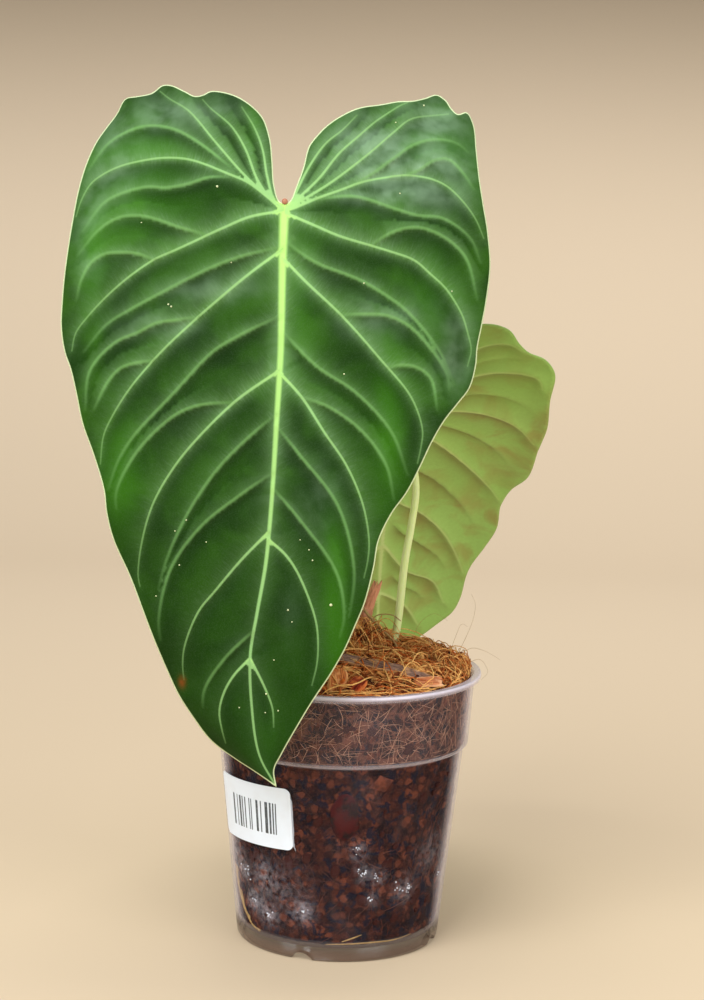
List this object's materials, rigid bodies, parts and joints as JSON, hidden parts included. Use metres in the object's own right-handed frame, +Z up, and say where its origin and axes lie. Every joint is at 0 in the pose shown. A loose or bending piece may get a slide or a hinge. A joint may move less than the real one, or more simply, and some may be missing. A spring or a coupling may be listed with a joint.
{
  "type": "potted splendid philodendron",
  "caption": "House plant with large heart-shaped velvety leaves on slender petioles, rooted in coir and husk in a clear tapered nursery pot.",
  "frame": {"origin": "centre of the pot's base, on the plane that the pot stands on", "axes": "+Z up, -Y towards the front, where the large leaf's upper face shows, +X to the viewer's right"},
  "size_m": [0.2077, 0.2352, 0.3659],
  "materials": {
    "clear_plastic": "clear, slightly milky thin plastic",
    "label_paper": "satin white sticker",
    "coir": "loose fibres and chips, matte",
    "husk_grey": "fibrous, matte",
    "husk_orange": "fibrous, matte",
    "husk_red": "damp, satin",
    "stem": "matte, scarred",
    "petiole": "satin, finely grooved",
    "velvet_leaf": "velvety upper face with pale sunken veins",
    "leaf_underside": "satin underside with raised ribs",
    "dry_sheath": "papery, dry",
    "root": "matte"
  },
  "bodies": {
    "root": {"pot": "clear_plastic", "pot_label": "label_paper", "substrate": "coir", "husk_strip": "husk_grey", "husk_chip_orange": "husk_orange", "husk_chip_red": "husk_red", "stem": "stem", "petiole_front": "petiole", "petiole_rear": "petiole", "leaf_front": "velvet_leaf", "leaf_rear": "leaf_underside", "cataphyll": "dry_sheath", "aerial_root": "root"}
  },
  "joints": []
}
